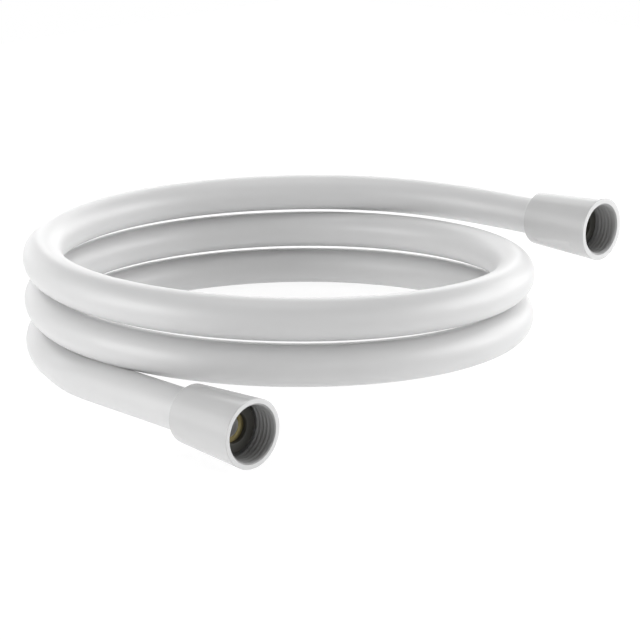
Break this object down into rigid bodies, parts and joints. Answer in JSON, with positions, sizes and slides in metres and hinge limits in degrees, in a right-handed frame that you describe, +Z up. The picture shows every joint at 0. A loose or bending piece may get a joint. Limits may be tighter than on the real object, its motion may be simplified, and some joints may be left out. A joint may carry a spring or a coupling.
{
  "type": "shower hose",
  "caption": "Smooth white shower hose lying in a coil, with a swivelling conical nut on each end.",
  "frame": {"origin": "centre of the coiled hose's box, at its lowest point, on the floor", "axes": "+Z up, +X the way both nuts point, +Y from the handset nut's side to the wall nut's side"},
  "size_m": [0.2085, 0.2466, 0.0528],
  "materials": {
    "hose_pvc": "smooth glossy white PVC",
    "nut_white": "polished white",
    "brass": "turned",
    "washer_rubber": "dull black",
    "glide_plastic": "moulded natural white",
    "ferrule_steel": "drawn and crimped"
  },
  "bodies": {
    "hose_body": {"hose": "hose_pvc", "handset_nipple": "brass", "handset_washer": "washer_rubber", "handset_glide_ring": "glide_plastic", "handset_ferrule": "ferrule_steel", "wall_nipple": "brass", "wall_washer": "washer_rubber", "wall_glide_ring": "glide_plastic", "wall_ferrule": "ferrule_steel"},
    "handset_nut_body": {"handset_nut": "nut_white"},
    "wall_nut_body": {"wall_nut": "nut_white"}
  },
  "joints": [
    {"name": "handset_nut_turn", "type": "hinge", "parent": "hose_body", "child": "handset_nut_body", "pos_m": [0.09175, -0.1104, 0.01265], "axis": [1, 0, 0], "continuous": true},
    {"name": "wall_nut_turn", "type": "hinge", "parent": "hose_body", "child": "wall_nut_body", "pos_m": [0.0749, 0.1103, 0.03793], "axis": [1, 0, 0], "continuous": true}
  ]
}
